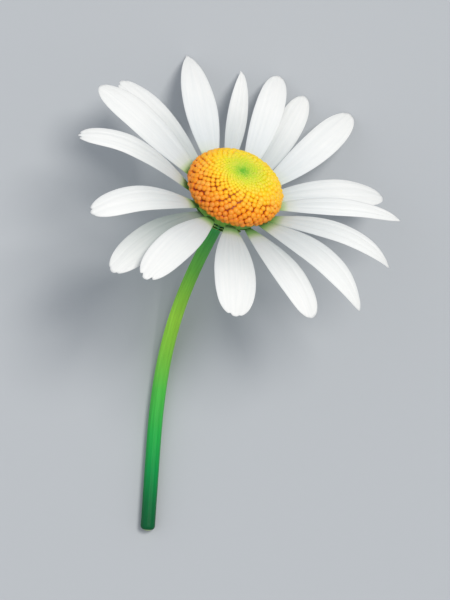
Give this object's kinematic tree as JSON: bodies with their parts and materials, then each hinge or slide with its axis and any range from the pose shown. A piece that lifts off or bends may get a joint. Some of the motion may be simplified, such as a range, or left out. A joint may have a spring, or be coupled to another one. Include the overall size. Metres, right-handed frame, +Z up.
{
  "type": "daisy flower",
  "caption": "Cut oxeye daisy lying on a surface: white ray petals round a domed golden disc, with green bracts under the head and a gently bent green stem.",
  "frame": {"origin": "bottom centre of the bounding box, on the surface that the flower lies on", "axes": "+Y along the flower from the cut end of the stem towards the head; +Z up from the surface it lies on; +X to the right of the stem seen from above"},
  "size_m": [0.0584, 0.0884, 0.0474],
  "materials": {
    "petal": "matt white petal with fine lengthwise ribs and a green-yellow claw",
    "disc": "packed florets, green at the centre, then yellow, gold and orange at the rim",
    "stem": "smooth ribbed green stalk, paler in the middle and dark at the cut end",
    "bract": "green scale with a pale centre and a thin brown papery edge"
  },
  "bodies": {
    "root": {"disc_florets": "disc", "inner_bract_01": "bract", "inner_bract_02": "bract", "inner_bract_03": "bract", "inner_bract_04": "bract", "inner_bract_05": "bract", "inner_bract_06": "bract", "inner_bract_07": "bract", "inner_bract_08": "bract", "inner_bract_09": "bract", "inner_bract_10": "bract", "inner_bract_11": "bract", "inner_bract_12": "bract", "inner_bract_13": "bract", "inner_bract_14": "bract", "inner_bract_15": "bract", "inner_bract_16": "bract", "inner_bract_17": "bract", "outer_bract_01": "bract", "outer_bract_02": "bract", "outer_bract_03": "bract", "outer_bract_04": "bract", "outer_bract_05": "bract", "outer_bract_06": "bract", "outer_bract_07": "bract", "outer_bract_08": "bract", "outer_bract_09": "bract", "outer_bract_10": "bract", "outer_bract_11": "bract", "outer_bract_12": "bract", "outer_bract_13": "bract", "ray_petal_01": "petal", "ray_petal_02": "petal", "ray_petal_03": "petal", "ray_petal_04": "petal", "ray_petal_05": "petal", "ray_petal_06": "petal", "ray_petal_07": "petal", "ray_petal_08": "petal", "ray_petal_09": "petal", "ray_petal_10": "petal", "ray_petal_11": "petal", "ray_petal_12": "petal", "ray_petal_13": "petal", "ray_petal_14": "petal", "ray_petal_15": "petal", "ray_petal_16": "petal", "ray_petal_17": "petal", "stem": "stem"}
  },
  "joints": []
}
